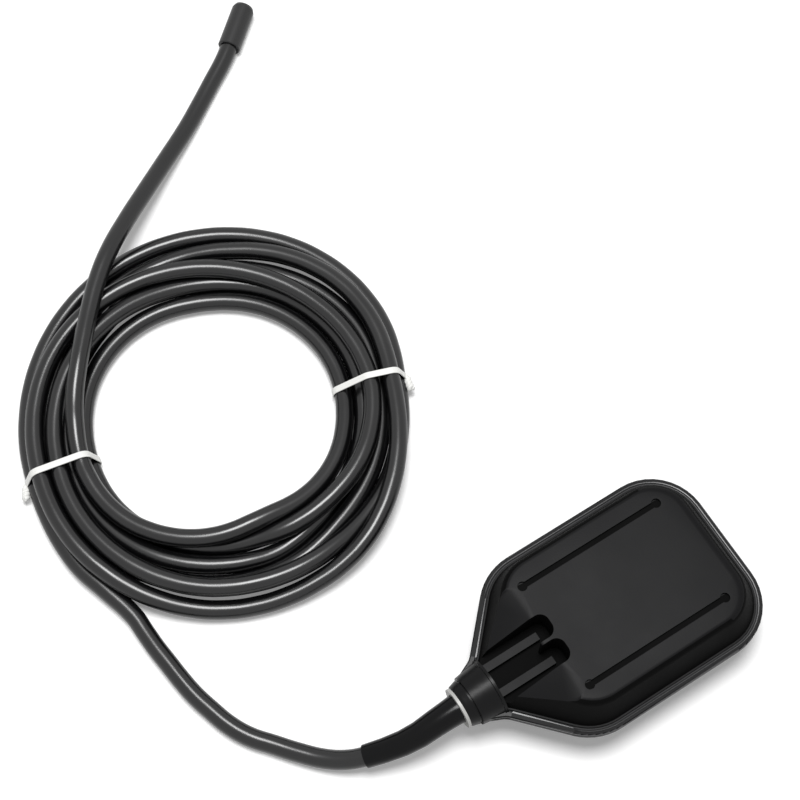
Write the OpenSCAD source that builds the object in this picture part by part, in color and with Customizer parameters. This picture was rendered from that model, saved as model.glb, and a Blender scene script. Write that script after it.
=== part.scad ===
// Cable float switch: a sealed hollow float on the end of its cable. A steel ball inside rolls when
// the float tilts and works a lever switch. All sizes are in millimetres.
// Frame: +X runs from the cable neck to the far end, +Z is up, and the float lies on z = 0.

/* [Float body] */
// Length from the front of the neck to the far end
body_l = 131; // [124:1:140]
// Width over the rim
body_w = 82; // [78:1:90]
// Thickness over the two flat panels
body_h = 41.5; // [40:0.5:46]
// Wall thickness of the shells
wall = 2.4; // [2:0.1:2.8]
// Radius of the two far corners
corner_r = 23.5; // [20:0.5:26]
// Radius where each long side turns into the taper
shoulder_r = 25; // [20:1:28]
// Angle of the taper from the long axis
taper_angle = 47; // [45:1:50]
// Distance from the front of the neck to the ends of the long sides
taper_end = 40; // [37:0.5:43]
// Half width of the rim where the taper meets the neck
root_half_w = 13.5; // [13:0.25:14.5]

/* [Rim and wall] */
// How far the rim stands out from the foot of the wall
rim_w = 3.8; // [3.2:0.1:4.4]
// Thickness of each shell's rim
rim_t = 2.4; // [2:0.1:3]
// Depth of the groove where the two rims meet
seam_groove = 0.6; // [0.3:0.1:0.9]
// How far the wall leans in over its height
wall_lean = 3.8; // [3:0.1:4.4]
// Radius of the panel's edge
edge_r = 3.2; // [2.6:0.1:4]
// Extra lean of the wall at the far end
far_lean = 3.4; // [2.5:0.1:4]

/* [Panel] */
// Distance from the front of the neck to the panel
panel_start = 39.7; // [38:0.1:42]
// Fall of the sloping facets between the panel and the neck
ramp_angle = 23; // [21:0.5:25]
// Distance from the front of the neck to the near ends of the two long grooves
groove_start = 43.2; // [42:0.1:50]
// Distance from the far end to the far ends of the grooves
groove_far = 19.2; // [18:0.1:24]
// Half the distance between the grooves' centre lines
groove_y = 23.3; // [20:0.1:24]
// Width of the grooves
groove_w = 2.4; // [1.8:0.1:3]
// Diameter of the round ends of the grooves
groove_end_d = 4; // [3.2:0.1:5]
// Depth of the grooves
groove_depth = 1.2; // [0.8:0.1:1.4]

/* [Neck pockets] */
// Distance from the front of the neck to the round ends of the pockets
pocket_end = 46.5; // [45:0.1:48]
// Half the width over the two pockets
pocket_half_w = 10.8; // [10:0.1:11.5]
// Thickness of the web between the pockets
pocket_web = 1.2; // [1:0.1:2]
// Length of the web between the pockets
pocket_web_l = 8; // [4:0.5:12]
// Radius of the pockets' inner corners
pocket_r = 4; // [2.5:0.25:4.5]
// Height of the pocket floor above the middle plane
pocket_floor = 6.6; // [6.5:0.1:8]
// Width of the rib in each pocket
rib_w = 3.3; // [2.5:0.1:4]
// Height of the rib in each pocket
rib_h = 2.8; // [2:0.1:4]
// Distance from the end of each rib to the end of its pocket
rib_gap = 5; // [4:0.5:7]

/* [Neck] */
// Length of the neck collar, with its washer
neck_l = 16.2; // [15.5:0.1:17]
// Radius at the front of the collar
neck_front_r = 8.9; // [8.8:0.1:9.5]
// Radius of the band at its front edge
band_front_r = 10.6; // [10.2:0.1:11]
// Radius of the band at its back edge
band_back_r = 12; // [11.5:0.1:12.2]
// Radius of the lip at the back of the collar
lip_r = 12.5; // [12.3:0.1:13]
// Width of the lip
lip_w = 1.3; // [1:0.1:1.8]
// Length of the stepped nose in front of the band
nose_l = 4.4; // [3.5:0.1:5]
// Width of the groove between nose and band
neck_groove_w = 0.9; // [0.6:0.1:1.2]
// Radius at the bottom of that groove
neck_groove_r = 9.4; // [9.2:0.1:9.8]
// Radius of the bore that holds the seal
seal_bore_r = 7.9; // [7.5:0.1:8.1]
// Thickness of the gland washer
washer_t = 1.2; // [1:0.1:1.5]
// Length of the rubber seal
seal_l = 8.8; // [8:0.1:9.2]
// Thickness of the web behind the seal
neck_web = 2.5; // [2:0.1:3]

/* [Boot and cable] */
// Diameter of the cable
cable_d = 8; // [7.8:0.1:8.1]
// Thickness of the boot's flange inside the neck
boot_flange_t = 3; // [2.5:0.1:3.2]
// Radius of the boot where it leaves the neck
boot_root_r = 6.2; // [5.8:0.1:6.6]
// Radius of the boot at its tip
boot_tip_r = 4.8; // [4.7:0.1:5.2]
// Length of the end cap
cap_l = 24; // [20:0.5:28]
// Radius of the end cap
cap_r = 5.25; // [5:0.05:5.5]
// Depth that the cable enters the end cap
cap_depth = 8; // [6:0.5:8]
// Width of the two ties
tie_w = 2.9; // [2:0.1:4]
// Thickness of the two ties
tie_t = 0.8; // [0.6:0.1:0.8]

/* [Switch capsule] */
// Distance from the front of the neck to the sealed inner capsule
capsule_start = 49.5; // [49:0.25:50]
// Room for the wires on each side of the lever switch
wire_room = 4.1; // [3.5:0.1:4.5]
// Height of the capsule
capsule_h = 26; // [25.5:0.25:26.5]
// Wall thickness of the capsule
capsule_wall = 2; // [1.6:0.1:2.2]
// Thickness of the capsule's cover
cover_t = 3; // [2.8:0.1:3.2]
// Thickness of the capsule's gasket
gasket_t = 1; // [0.8:0.1:1.2]
// Distance from the far end of the float to the capsule
capsule_far = 12.5; // [12:0.25:13]
// Radius of the four lugs that the cover screws pass through
lug_r = 3.4; // [3:0.1:3.6]
// Diameter of the cover screws
cover_screw_d = 2.5; // [2:0.1:3]
// Diameter of the clamp screws
clamp_screw_d = 3; // [2.5:0.1:3.2]
// Length of the cable clamp along the cable
clamp_l = 6; // [5:0.5:6.5]
// Radius of the posts that hold the capsule
post_r = 3; // [2.5:0.1:4]

/* [Ball and channel] */
// Diameter of the steel ball
ball_d = 12; // [11:0.1:12.2]
// Travel of the ball along its channel
ball_travel = 15; // [14:0.5:16]
// Upward tilt of the channel towards the switch
channel_tilt = 4; // [3:0.5:5]
// Gap between the ball and its channel
ball_gap = 0.25; // [0.15:0.05:0.4]
// Thickness of the channel's walls and floor
channel_wall = 1.5; // [1.2:0.1:2]

/* [Lever switch] */
// Height of the switch case, from its lever side to its terminals
switch_h = 15.9; // [15:0.1:16]
// Length of the switch case along the lever
switch_l = 27.8; // [27:0.1:28]
// Thickness of the switch case
switch_t = 10.3; // [9.8:0.1:10.5]
// Distance between the two mounting pins
switch_pitch = 22.2; // [21:0.1:22.5]
// Diameter of the mounting pins
switch_pin_d = 3; // [2.6:0.1:3.1]
// Width of the lever
lever_w = 5; // [4:0.1:6]
// Thickness of the lever
lever_t = 0.5; // [0.4:0.05:0.6]
// Distance that the lever reaches past its pin
lever_l = 24; // [22:0.5:25]
// Angle between the free lever and the pressed one
lever_angle = 8; // [7:0.25:9]
// Radius of the lever's hinge pin
hinge_r = 1; // [0.8:0.05:1.1]
// Distance from the hinge pin to the plunger
plunger_reach = 8.4; // [8:0.1:9]
// Radius of the plunger
plunger_r = 1.2; // [1:0.05:1.4]
// Radius of each coloured wire
wire_r = 1.1; // [0.9:0.05:1.15]
// Width of the terminal blades
blade_w = 4.75; // [4:0.05:5]
// Thickness of the terminal blades
blade_t = 0.8; // [0.6:0.05:0.9]

/* [Hidden] */
$fn = 48;

fit = 0.05;          // radial clearance of pins and plungers
slack = 0.1;         // clearance of pieces that only rest together
cut = 1;             // overrun of cutting shapes
far_x = body_l / 2;
neck_x = -far_x;
mid_z = body_h / 2;
cable_r = cable_d / 2;

// Rim: a flat outer strip, a shallow channel and a bead at the foot of the wall
rim_round = 0.5;
bead_h = 0.4;
channel_depth = 0.6;
foot_z = mid_z + rim_t;
wall_top_z = body_h - edge_r;

// Neck, from its front backwards
collar_x = neck_x + washer_t;
collar_back_x = neck_x + neck_l;
seal_x = collar_x + boot_flange_t;
web_x = seal_x + seal_l;
web_back_x = web_x + neck_web;
strip_angle = 24;
strip_end_x = neck_x + 7;
root_r = 8;

// Panel
panel_x = neck_x + panel_start;
pocket_x = neck_x + pocket_end;
floor_z = mid_z + pocket_floor;
pocket_underside_z = mid_z + cable_r + 0.45;

// Capsule
capsule_w = switch_l + 2 * (wire_room + capsule_wall);
capsule_x1 = far_x - capsule_far;
capsule_x0 = neck_x + capsule_start;
capsule_z0 = mid_z - capsule_h / 2;
capsule_z1 = mid_z + capsule_h / 2;
capsule_floor_z = capsule_z0 + capsule_wall;
gasket_z = capsule_z1 - cover_t - gasket_t;
cover_z = capsule_z1 - cover_t;
lug_y = capsule_w / 2 + lug_r - 0.4;
lugs = [
    [capsule_x0 + 8, lug_y], [capsule_x0 + 8, -lug_y],
    [capsule_x1 - 18, lug_y], [capsule_x1 - 18, -lug_y]
];
posts = [
    for (x = [capsule_x0 + 9, capsule_x1 - 9], y = [-capsule_w / 2 + 6, capsule_w / 2 - 6]) [x, y]
];
cover_head_r = cover_screw_d * 0.95;
cover_head_h = 1.7;
cover_screw_l = 11;
clamp_x = capsule_x0 + capsule_wall + 1.5;
clamp_y = cable_r + 4;
clamp_z = mid_z - 0.25;
clamp_h = cable_r + 1.75;
clamp_head_r = clamp_screw_d * 0.87;
clamp_head_h = 2;
clamp_screw_l = 11;
cable_end_x = clamp_x + clamp_l + 1.5;

// Lever switch: its face is square to the ball's path
case_x1 = capsule_x1 - capsule_wall - 5.8;
case_x0 = case_x1 - switch_h;
pressed_gap = 0.7;
lever_back_x = case_x0 - pressed_gap;
eye_r = hinge_r + fit + lever_t;
pin_x = lever_back_x - eye_r;
pin_y = switch_l / 2 - 1.5;
ball_r = ball_d / 2;
ball_y = -3;
ball_end_x = lever_back_x - lever_t - ball_r - 0.14;
ball_x = ball_end_x - ball_travel * cos(channel_tilt);
ball_z = capsule_floor_z + channel_wall + ball_gap + ball_r + 0.3;
switch_z = ball_z + ball_travel * sin(channel_tilt);
plunger_y = pin_y - plunger_reach;
plunger_rest_x = pin_x + eye_r / cos(lever_angle) - (plunger_reach - plunger_r) * tan(lever_angle) + fit;
plunger_travel = lever_back_x + fit - plunger_rest_x;
plunger_flange_r = plunger_r + 0.9;
plunger_flange_t = 1;
plunger_cavity_x = case_x0 + 1.5;
plunger_cavity_l = plunger_travel + plunger_flange_t + 0.6;
pins = [for (s = [-1, 1]) [case_x1 - 2.9, s * switch_pitch / 2]];
blade_l = 5;
blade_root = 1.2;
blade_y = 10;
wire_pitch = 2.5;
wire_lift = 2 * wire_r + 0.4;
first_wire_z = switch_z + lever_w / 2 + 0.7;

// Cable route. Each x is counted from the front of the neck, and heights are above the surface.
lead_points = [
    [0, 0, mid_z], [-1.5, 0, mid_z], [-5, 0, 20.4], [-10.5, 0, 19.5], [-17.5, 0, 17.5], [-24.5, 1, 15],
    [-32, 3, 12.5], [-39.5, 5.5, 10], [-46.5, 9, 7.5], [-53.5, 14.5, 5.5], [-60.5, 22, 4.5],
    [-67.5, 30.5, 4], [-74, 38.5, 4], [-78.5, 47, 4], [-81.5, 56, 4], [-84, 65, 4],
    [-85.5, 74, 4], [-86.5, 82.5, 4], [-87.5, 91, 4], [-88, 99, 4], [-88, 107, 4], [-87.5, 112, 4]
];
boot_last = 7;
tail_points = [
    [-72.5, 181.5, 20.8], [-68.5, 190.5, 20.8], [-63, 200, 20.8], [-56, 209.5, 20.8],
    [-48, 219.5, 20.8], [-38.5, 231, 20.8], [-28.5, 242, 20.8], [-18, 251.5, 20.3],
    [-2.5, 263.5, 16.5], [11.5, 273.5, 12.5], [28, 285, 8], [45.5, 296.5, 5],
    [57, 304.5, 4.2], [68.5, 312.5, 4.2], [77.5, 318.5, 4.7], [84, 323.5, 5.25]
];
cap_turn = 41.5;

// Coil: a slightly oval bundle of turns that lies on its two ties
coil_centre = [-17.2, 163.8];
coil_turn = 57.5;
coil_hole_r = 53;
coil_long_r = 91;
coil_short_r = 82.3;
coil_bottom_z = tie_t;
coil_top_z = 16.8;
coil_round = 6;
tie_left_turn = 168;
tie_right_turn = -18.6;

function unit(v) = v / norm(v);

// Where the line through a along u meets the line through b along v
function meet(a, u, b, v) = a + u * (cross(b - a, v) / cross(u, v));

// Arc of radius r that rounds the corner at b, between a and c
function rounded(a, b, c, r, steps) =
    let (
        u = unit(a - b), v = unit(c - b), half = acos(u * v) / 2,
        centre = b + unit(u + v) * r / sin(half),
        p = b + u * r / tan(half) - centre, q = b + v * r / tan(half) - centre,
        start = atan2(p.y, p.x), turn = atan2(cross(p, q), p * q)
    )
    [for (i = [0:steps]) centre + r * [cos(start + turn * i / steps), sin(start + turn * i / steps)]];

// Half of the float's outline, moved in by inset, and by lean more at the far end
function half_outline(inset, lean) =
    let (
        top = body_w / 2 - inset, far = far_x - inset - lean,
        taper = [cos(taper_angle), sin(taper_angle)],
        strip = [cos(strip_angle), sin(strip_angle)],
        taper_in = [sin(taper_angle), -cos(taper_angle)] * inset,
        strip_in = [sin(strip_angle), -cos(strip_angle)] * inset,
        shoulder_0 = [neck_x + taper_end, body_w / 2],
        root_0 = shoulder_0 - taper * (body_w / 2 - root_half_w) / taper.y,
        shoulder = meet([0, top], [1, 0], shoulder_0 + taper_in, taper),
        root = meet(shoulder_0 + taper_in, taper, root_0 + strip_in, strip),
        end_x = strip_end_x + inset / 4,
        end_y = max(0.5, root.y - (root.x - end_x) * strip.y / strip.x)
    )
    concat(
        rounded([far, 0], [far, top], [0, top], corner_r - inset, 10),
        rounded([0, top], shoulder, root, shoulder_r - inset, 7),
        rounded(shoulder, root, [end_x, end_y], root_r + inset, 4),
        [[end_x, end_y]]
    );

function outline(inset, lean) =
    let (half = half_outline(inset, lean), n = len(half))
    concat(half, [for (i = [n - 1:-1:0]) [half[i].x, -half[i].y]]);

function level(z, inset, lean = 0) = [for (p = outline(inset, lean)) [p.x, p.y, z]];

// Closed skin over equal rings of points, or over a loop of them
module skin(rings, looped = false) {
    n = len(rings[0]);
    m = len(rings);
    spans = looped ? m : m - 1;
    sides = [
        for (k = [0:spans - 1], i = [0:n - 1])
            let (a = k * n, b = (k + 1) % m * n, j = (i + 1) % n) [a + i, b + i, b + j, a + j]
    ];
    ends = looped ? [] : [[for (i = [0:n - 1]) i], [for (i = [n - 1:-1:0]) (m - 1) * n + i]];
    polyhedron(points = [for (ring = rings) each ring], faces = concat(sides, ends), convexity = 8);
}

function heading(p, i) = unit(p[min(i + 1, len(p) - 1)] - p[max(i - 1, 0)]);

// Sideways direction at each point of a path, carried along without twist
function sideways(p, i) =
    let (t = heading(p, i))
    i == 0 ? unit(cross(t, [0, 0, 1])) : let (s = sideways(p, i - 1)) unit(s - (s * t) * t);

function ring_at(p, i, r, sides) =
    let (t = heading(p, i), s = sideways(p, i), w = cross(t, s))
    [for (a = [0:360 / sides:359]) p[i] + r * (cos(a) * s + sin(a) * w)];

module tube(path, r, sides) skin([for (i = [0:len(path) - 1]) ring_at(path, i, r, sides)]);

// Solid turned about a line along X through the origin, from its [radius, x] profile
module turned(profile) rotate([0, 90, 0]) rotate_extrude() polygon(profile);

module rod_x(x0, x1, r) translate([x0, 0, 0]) rotate([0, 90, 0]) cylinder(h = x1 - x0, r = r);

module ring_x(x0, x1, r, hole_r)
    difference() {
        rod_x(x0, x1, r);
        rod_x(x0 - cut, x1 + cut, hole_r);
    }

module round_rect(x0, x1, y0, y1, r) {
    translate([x0 + r, y0]) square([x1 - x0 - 2 * r, y1 - y0]);
    translate([x0, y0 + r]) square([x1 - x0, y1 - y0 - 2 * r]);
    for (x = [x0 + r, x1 - r], y = [y0 + r, y1 - r]) translate([x, y]) circle(r = r);
}

module block(x0, x1, y0, y1, z0, z1) translate([x0, y0, z0]) cube([x1 - x0, y1 - y0, z1 - z0]);

// Outside of the upper half, from the middle plane to the panel's rounded edge
module half_form()
    skin(concat(
        [
            level(mid_z, seam_groove), level(mid_z + rim_round, seam_groove),
            level(mid_z + rim_round * 1.6, 0), level(foot_z - rim_round, 0),
            level(foot_z, rim_round), level(foot_z, rim_w - 1.8),
            level(foot_z - channel_depth, rim_w - 1.6), level(foot_z - channel_depth, rim_w - 1),
            level(foot_z + bead_h, rim_w - 0.8), level(foot_z + bead_h, rim_w - 0.2),
            level(foot_z + bead_h + 0.2, rim_w)
        ],
        [
            for (a = [0:22.5:90])
                level(
                    wall_top_z + edge_r * sin(a), rim_w + wall_lean + edge_r * (1 - cos(a)),
                    far_lean * (0.6 + 0.4 * (1 - cos(a)))
                )
        ]
    ));

// Inside of the upper half, one wall in from its outside
module half_hollow()
    skin([
        level(mid_z - cut, rim_w + wall), level(foot_z, rim_w + wall),
        level(wall_top_z, rim_w + wall_lean + wall, far_lean * 0.6),
        level(body_h - wall, rim_w + wall_lean + edge_r, far_lean)
    ]);

// What lies above the sloping facets, or above a plane one wall below them
module above_ramp(depth)
    translate([panel_x, 0, body_h]) rotate([0, -ramp_angle, 0])
        block(-body_l, cut, -body_w, body_w, -depth, body_h);

module pocket_outline(grow) {
    r = pocket_r + grow;
    x0 = collar_back_x - (grow > 0 ? neck_l : 0);
    x1 = pocket_x + grow;
    for (s = [0, 1]) mirror([0, s]) {
        y0 = grow > 0 ? 0 : pocket_web / 2;
        y1 = pocket_half_w + grow;
        translate([x0, y0]) square([x1 - r - x0, y1 - y0]);
        translate([x0, y0 + (grow > 0 ? 0 : r)]) square([x1 - x0, y1 - y0 - (grow > 0 ? r : 2 * r)]);
        translate([x1 - r, y1 - r]) circle(r = r);
        if (grow == 0) translate([x1 - r, y0 + r]) circle(r = r);
    }
    translate([x0, -pocket_web]) square([x1 - x0 - pocket_web_l, 2 * pocket_web]);
}

module pockets() {
    difference() {
        translate([0, 0, floor_z]) linear_extrude(body_h) pocket_outline(0);
        for (s = [-1, 1])
            translate([0, s * (pocket_half_w + pocket_web / 2) / 2, 0])
                block(collar_back_x - cut, pocket_x - rib_gap, -rib_w / 2, rib_w / 2, 0, floor_z + rib_h);
    }
}

module grooves() {
    x1 = far_x - groove_far;
    x0 = neck_x + groove_start;
    for (s = [-1, 1]) translate([0, s * groove_y, body_h - groove_depth]) linear_extrude(body_h) {
        translate([x0 + groove_end_d / 2, -groove_w / 2]) square([x1 - x0 - groove_end_d, groove_w]);
        for (x = [x0 + groove_end_d / 2, x1 - groove_end_d / 2]) translate([x, 0]) circle(d = groove_end_d);
    }
}

// The collar: nose, groove, band and lip, turned about the cable
module collar()
    turned([
        [0, collar_x], [neck_front_r - 0.5, collar_x], [neck_front_r, collar_x + 0.5],
        [neck_front_r + 0.9, collar_x + nose_l - neck_groove_w],
        [neck_groove_r, collar_x + nose_l - neck_groove_w], [neck_groove_r, collar_x + nose_l],
        [band_front_r, collar_x + nose_l], [band_back_r, collar_back_x - lip_w],
        [lip_r, collar_back_x - lip_w + 0.2], [lip_r, collar_back_x], [0, collar_back_x]
    ]);

// Upper half of the float. The lower half is the same moulding turned over.
module half_shell() {
    difference() {
        union() {
            difference() {
                half_form();
                above_ramp(0);
                block(neck_x - cut, collar_back_x, -body_w, body_w, foot_z, body_h + cut);
            }
            intersection() {
                translate([0, 0, mid_z]) collar();
                block(neck_x, collar_back_x, -body_w, body_w, mid_z, body_h);
            }
        }
        difference() {
            intersection() {
                half_hollow();
                block(web_back_x, far_x, -body_w, body_w, 0, body_h);
            }
            above_ramp(wall);
            translate([0, 0, pocket_underside_z]) linear_extrude(body_h) pocket_outline(wall);
        }
        pockets();
        grooves();
        translate([0, 0, mid_z]) {
            rod_x(neck_x - cut, web_x, seal_bore_r);
            rod_x(neck_x, web_back_x + cut, cable_r + slack);
        }
    }
    for (p = posts)
        translate([p.x, p.y, capsule_z1]) cylinder(h = body_h - wall / 2 - capsule_z1, r = post_r);
}

module upper_shell() color("#232323") half_shell();

module lower_shell()
    color("#1f1f1f") translate([0, 0, body_h]) rotate([180, 0, 0]) half_shell();

module gland_washer()
    color("#c9c9c6") translate([0, 0, mid_z])
        ring_x(neck_x, collar_x, neck_front_r - 0.3, boot_root_r + slack);

module cable_seal()
    color("#2b2b2b") translate([0, 0, mid_z])
        ring_x(seal_x, web_x, seal_bore_r - slack, cable_r + fit);

// Rubber boot: a flange held in the neck, then a long taper that bends with the cable
module boot() {
    lead = [for (i = [0:boot_last]) route_point(lead_points[i])];
    straight = [for (x = [seal_x, collar_x]) [x, 0, mid_z]];
    path = concat(straight, lead);
    bore = concat([[seal_x + cut, 0, mid_z]], path, [route_point(lead_points[boot_last + 1])]);
    steps = len(lead) - 1;
    color("#0c0c0c") difference() {
        skin(concat(
            [for (i = [0, 1]) ring_at(path, i, seal_bore_r - slack, 24)],
            [ring_at(path, 1, boot_root_r, 24)],
            [
                for (i = [0:steps])
                    ring_at(path, i + 2, boot_root_r - (boot_root_r - boot_tip_r) * i / steps, 24)
            ]
        ));
        tube(bore, cable_r + 1.5 * slack, 24);
    }
}

function route_point(p) = [neck_x + p.x, p.y, p.z];

module capsule_outline(inset) {
    round_rect(capsule_x0 + inset, capsule_x1 - inset, -capsule_w / 2 + inset, capsule_w / 2 - inset, 5 - inset);
    if (inset == 0) for (p = lugs) translate(p) circle(r = lug_r);
}

module at_lugs(z) for (p = lugs) translate([p.x, p.y, z]) children();

// Box with a saddle for the cable, two pins for the switch and four screw lugs
module capsule_base() {
    saddle_y = cable_r + 1.2;
    color("#d8d4c8") difference() {
        union() {
            difference() {
                translate([0, 0, capsule_z0]) linear_extrude(gasket_z - capsule_z0) capsule_outline(0);
                translate([0, 0, capsule_floor_z]) linear_extrude(capsule_h) capsule_outline(capsule_wall);
            }
            block(clamp_x, clamp_x + clamp_l, -saddle_y, saddle_y, capsule_floor_z - cut, clamp_z - slack);
            for (s = [-1, 1])
                translate([clamp_x + clamp_l / 2, s * clamp_y, capsule_floor_z - cut])
                    cylinder(h = clamp_z - slack - capsule_floor_z + cut, r = clamp_l / 2);
            for (p = pins) translate([p.x, p.y, capsule_floor_z - cut]) {
                cylinder(h = switch_z - switch_t / 2 - capsule_floor_z + cut, r = 2.6);
                cylinder(h = switch_z + switch_t / 2 + 0.5 - capsule_floor_z + cut, d = switch_pin_d);
            }
        }
        translate([0, 0, mid_z]) rod_x(capsule_x0 - cut, cable_end_x + cut, cable_r + fit);
        at_lugs(cover_z + cover_t - cover_head_h - cover_screw_l)
            cylinder(h = capsule_h, d = cover_screw_d + 2 * fit);
        for (s = [-1, 1])
            translate([clamp_x + clamp_l / 2, s * clamp_y, clamp_z + clamp_h - clamp_screw_l])
                cylinder(h = clamp_screw_l, d = clamp_screw_d + 2 * fit);
    }
}

module capsule_gasket()
    color("#3a3a3a") difference() {
        translate([0, 0, gasket_z]) linear_extrude(gasket_t) difference() {
            capsule_outline(0);
            capsule_outline(capsule_wall);
        }
        at_lugs(gasket_z - cut) cylinder(h = gasket_t + 2 * cut, d = cover_screw_d + 4 * fit);
    }

module capsule_cover()
    color("#d8d4c8") difference() {
        translate([0, 0, cover_z]) linear_extrude(cover_t) capsule_outline(0);
        at_lugs(cover_z - cut) cylinder(h = cover_t + 2 * cut, d = cover_screw_d + 4 * fit);
        at_lugs(capsule_z1 - cover_head_h) cylinder(h = cover_head_h + cut, r = cover_head_r + slack);
    }

module screw(d, length, head_r, head_h, slot_w)
    difference() {
        union() {
            translate([0, 0, -length]) cylinder(h = length, d = d);
            cylinder(h = head_h, r = head_r);
        }
        block(-head_r - cut, head_r + cut, -slot_w / 2, slot_w / 2, head_h / 2, head_h + cut);
    }

module cover_screw(i)
    color("#b9bcc0") translate([lugs[i].x, lugs[i].y, capsule_z1 - cover_head_h])
        screw(cover_screw_d, cover_screw_l, cover_head_r, cover_head_h, 0.6);

// Bridge that two screws press down on the cable
module cable_clamp()
    color("#e6e2d6") difference() {
        translate([clamp_x, 0, 0])
            block(0, clamp_l, -clamp_y - clamp_l / 2, clamp_y + clamp_l / 2, clamp_z, clamp_z + clamp_h);
        translate([0, 0, mid_z]) rod_x(clamp_x - cut, clamp_x + clamp_l + cut, cable_r + fit);
        for (s = [-1, 1]) translate([clamp_x + clamp_l / 2, s * clamp_y, clamp_z - cut])
            cylinder(h = clamp_h + 2 * cut, d = clamp_screw_d + 4 * fit);
    }

module clamp_screw(side)
    color("#b9bcc0") translate([clamp_x + clamp_l / 2, side * clamp_y, clamp_z + clamp_h])
        screw(clamp_screw_d, clamp_screw_l - slack, clamp_head_r, clamp_head_h, 0.7);

// Trough that rises towards the switch, so the ball rolls back when the float lies level
module ball_channel() {
    trough_r = ball_r + ball_gap;
    half = trough_r + channel_wall;
    x0 = ball_x - ball_r - ball_gap - channel_wall;
    x1 = ball_end_x + 1.5;
    color("#e6e2d6") difference() {
        block(x0, x1, ball_y - half, ball_y + half, capsule_floor_z, ball_z + 1.5);
        translate([ball_x, ball_y, ball_z]) {
            sphere(r = trough_r);
            rotate([0, -channel_tilt, 0]) {
                rod_x(0, ball_travel + ball_d, trough_r);
                block(0, ball_travel + ball_d, -trough_r, trough_r, 0, ball_d);
            }
            cylinder(h = ball_d, r = trough_r);
        }
    }
}

module steel_ball() color("#d0d4d8") translate([ball_x, ball_y, ball_z]) sphere(d = ball_d);

module switch_case() {
    ear = lever_w / 2 + slack;
    color("#22262e") difference() {
        union() {
            block(case_x0, case_x1, -switch_l / 2, switch_l / 2, switch_z - switch_t / 2, switch_z + switch_t / 2);
            for (s = [-1, 1]) translate([pin_x, pin_y, switch_z + s * (ear + 0.6)]) {
                cylinder(h = 1.2, r = eye_r, center = true);
                block(0, case_x0 - pin_x + 0.5, -eye_r, eye_r, -0.6, 0.6);
            }
        }
        translate([pin_x, pin_y, 0]) cylinder(h = body_h, r = hinge_r + fit);
        translate([0, plunger_y, switch_z]) {
            rod_x(case_x0 - cut, plunger_cavity_x + cut, plunger_r + fit);
            rod_x(plunger_cavity_x, plunger_cavity_x + plunger_cavity_l, plunger_flange_r + slack);
        }
        for (p = pins) translate([p.x, p.y, 0]) cylinder(h = body_h, d = switch_pin_d + 2 * fit);
        for (y = [-blade_y, 0, blade_y]) translate([case_x1 - blade_root, y, switch_z])
            block(-fit, blade_root + cut, -blade_w / 2 - fit, blade_w / 2 + fit, -blade_t / 2 - fit, blade_t / 2 + fit);
    }
}

module switch_plunger()
    color("#a83a2c") translate([0, plunger_y, switch_z]) {
        rod_x(plunger_rest_x, plunger_cavity_x + 0.5, plunger_r);
        rod_x(plunger_cavity_x + 0.2, plunger_cavity_x + 0.2 + plunger_flange_t, plunger_flange_r);
    }

// Sheet lever with a rolled eye, free of the plunger's spring by lever_angle
module switch_lever()
    color("#c4c8cc") translate([pin_x, pin_y, switch_z - lever_w / 2]) rotate([0, 0, -lever_angle])
        difference() {
            union() {
                cylinder(h = lever_w, r = eye_r);
                block(eye_r - lever_t, eye_r, -lever_l, 0, 0, lever_w);
            }
            translate([0, 0, -cut]) cylinder(h = lever_w + 2 * cut, r = hinge_r + fit);
        }

module lever_pin()
    color("#b9bcc0") translate([pin_x, pin_y, switch_z])
        cylinder(h = lever_w + 2 * slack + 2.4, r = hinge_r, center = true);

module terminal(y)
    color("#c8a45a") difference() {
        translate([case_x1 - blade_root, y, switch_z])
            block(0, blade_root + blade_l, -blade_w / 2, blade_w / 2, -blade_t / 2, blade_t / 2);
        translate([case_x1 + blade_l - 1.6, y, 0]) cylinder(h = body_h, r = 0.6);
    }

// Coloured wire from the end of the cable, round the ball channel and down on its terminal
module wire(start_z, run_z, y) {
    start = [cable_end_x, 0, mid_z + start_z];
    side_y = switch_l / 2 + wire_room / 2;
    back_x = case_x1 + 2.4;
    tube([
        start, start + [1, 0, 0],
        [cable_end_x + 2.6, 4.5, (start.z + run_z) / 2], [cable_end_x + 4.2, 9, run_z],
        [cable_end_x + 7.5, side_y - 2.5, run_z], [cable_end_x + 12, side_y, run_z],
        [case_x1 - 1, side_y, run_z], [case_x1 + 1.8, side_y - 1.2, run_z], [back_x, y + 3, run_z],
        [back_x, y + 0.9, run_z - 0.4], [back_x, y, run_z - 1.6], [back_x, y, switch_z + blade_t / 2]
    ], wire_r, 8);
}

module wire_brown() color("#6b4226") wire(-wire_pitch, first_wire_z, blade_y);
module wire_blue() color("#2f5fa8") wire(0, first_wire_z + wire_lift, 0);
module wire_black() color("#141414") wire(wire_pitch, first_wire_z + 2 * wire_lift, -blade_y);

module cable_inside()
    color("#2e2e2e") translate([0, 0, mid_z]) rod_x(neck_x, cable_end_x, cable_r);

module cable_lead() color("#2e2e2e") tube([for (p = lead_points) route_point(p)], cable_r, 12);

// Outer radius of the coil at an angle from its long axis
function coil_out(a) = 1 / norm([cos(a) / coil_long_r, sin(a) / coil_short_r]);

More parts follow.
